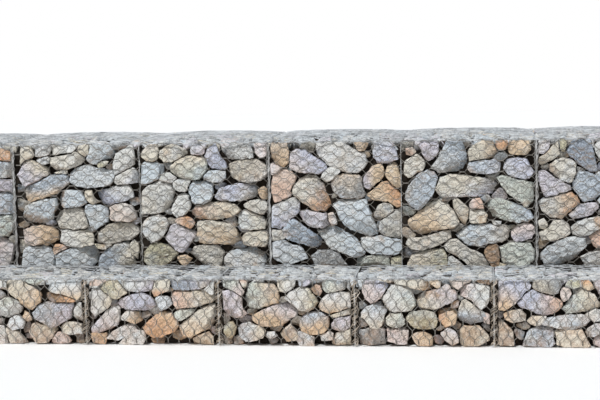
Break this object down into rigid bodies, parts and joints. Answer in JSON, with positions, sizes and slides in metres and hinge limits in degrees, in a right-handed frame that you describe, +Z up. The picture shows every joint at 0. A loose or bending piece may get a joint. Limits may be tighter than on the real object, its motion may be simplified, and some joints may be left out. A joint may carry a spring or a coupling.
{
  "type": "gabion retaining wall",
  "caption": "Stepped retaining wall of wire gabion baskets packed with broken rock, with a deeper, lower front course and laced seams.",
  "frame": {"origin": "centre of the bounding box's bottom, on the level that the lower course stands on", "axes": "+X along the wall to the right as seen from its exposed face, -Y out of the exposed stepped face, +Z up"},
  "size_m": [7.031, 1.5474, 1.495],
  "materials": {
    "rock": "matte",
    "basket_wire": "matte",
    "lacing_wire": "matte"
  },
  "bodies": {
    "root": {"lower_fill_1": "rock", "lower_fill_2": "rock", "lower_fill_3": "rock", "lower_fill_4": "rock", "lower_fill_5": "rock", "lower_fill_6": "rock", "lower_fill_7": "rock", "upper_fill_1": "rock", "upper_fill_2": "rock", "upper_fill_3": "rock", "upper_fill_4": "rock", "upper_fill_5": "rock", "upper_fill_6": "rock", "lower_basket_1": "basket_wire", "lower_basket_2": "basket_wire", "lower_basket_3": "basket_wire", "lower_basket_4": "basket_wire", "lower_basket_5": "basket_wire", "lower_basket_6": "basket_wire", "lower_basket_7": "basket_wire", "lower_lid_1": "basket_wire", "lower_lid_2": "basket_wire", "lower_lid_3": "basket_wire", "lower_lid_4": "basket_wire", "lower_lid_5": "basket_wire", "lower_lid_6": "basket_wire", "lower_lid_7": "basket_wire", "upper_basket_1": "basket_wire", "upper_basket_2": "basket_wire", "upper_basket_3": "basket_wire", "upper_basket_4": "basket_wire", "upper_lid_1": "basket_wire", "upper_lid_2": "basket_wire", "upper_lid_3": "basket_wire", "upper_lid_4": "basket_wire", "diaphragm_1": "basket_wire", "diaphragm_2": "basket_wire", "lower_seam_lacing": "lacing_wire", "lower_lid_lacing": "lacing_wire", "upper_seam_lacing": "lacing_wire", "upper_lid_lacing": "lacing_wire"}
  },
  "joints": []
}
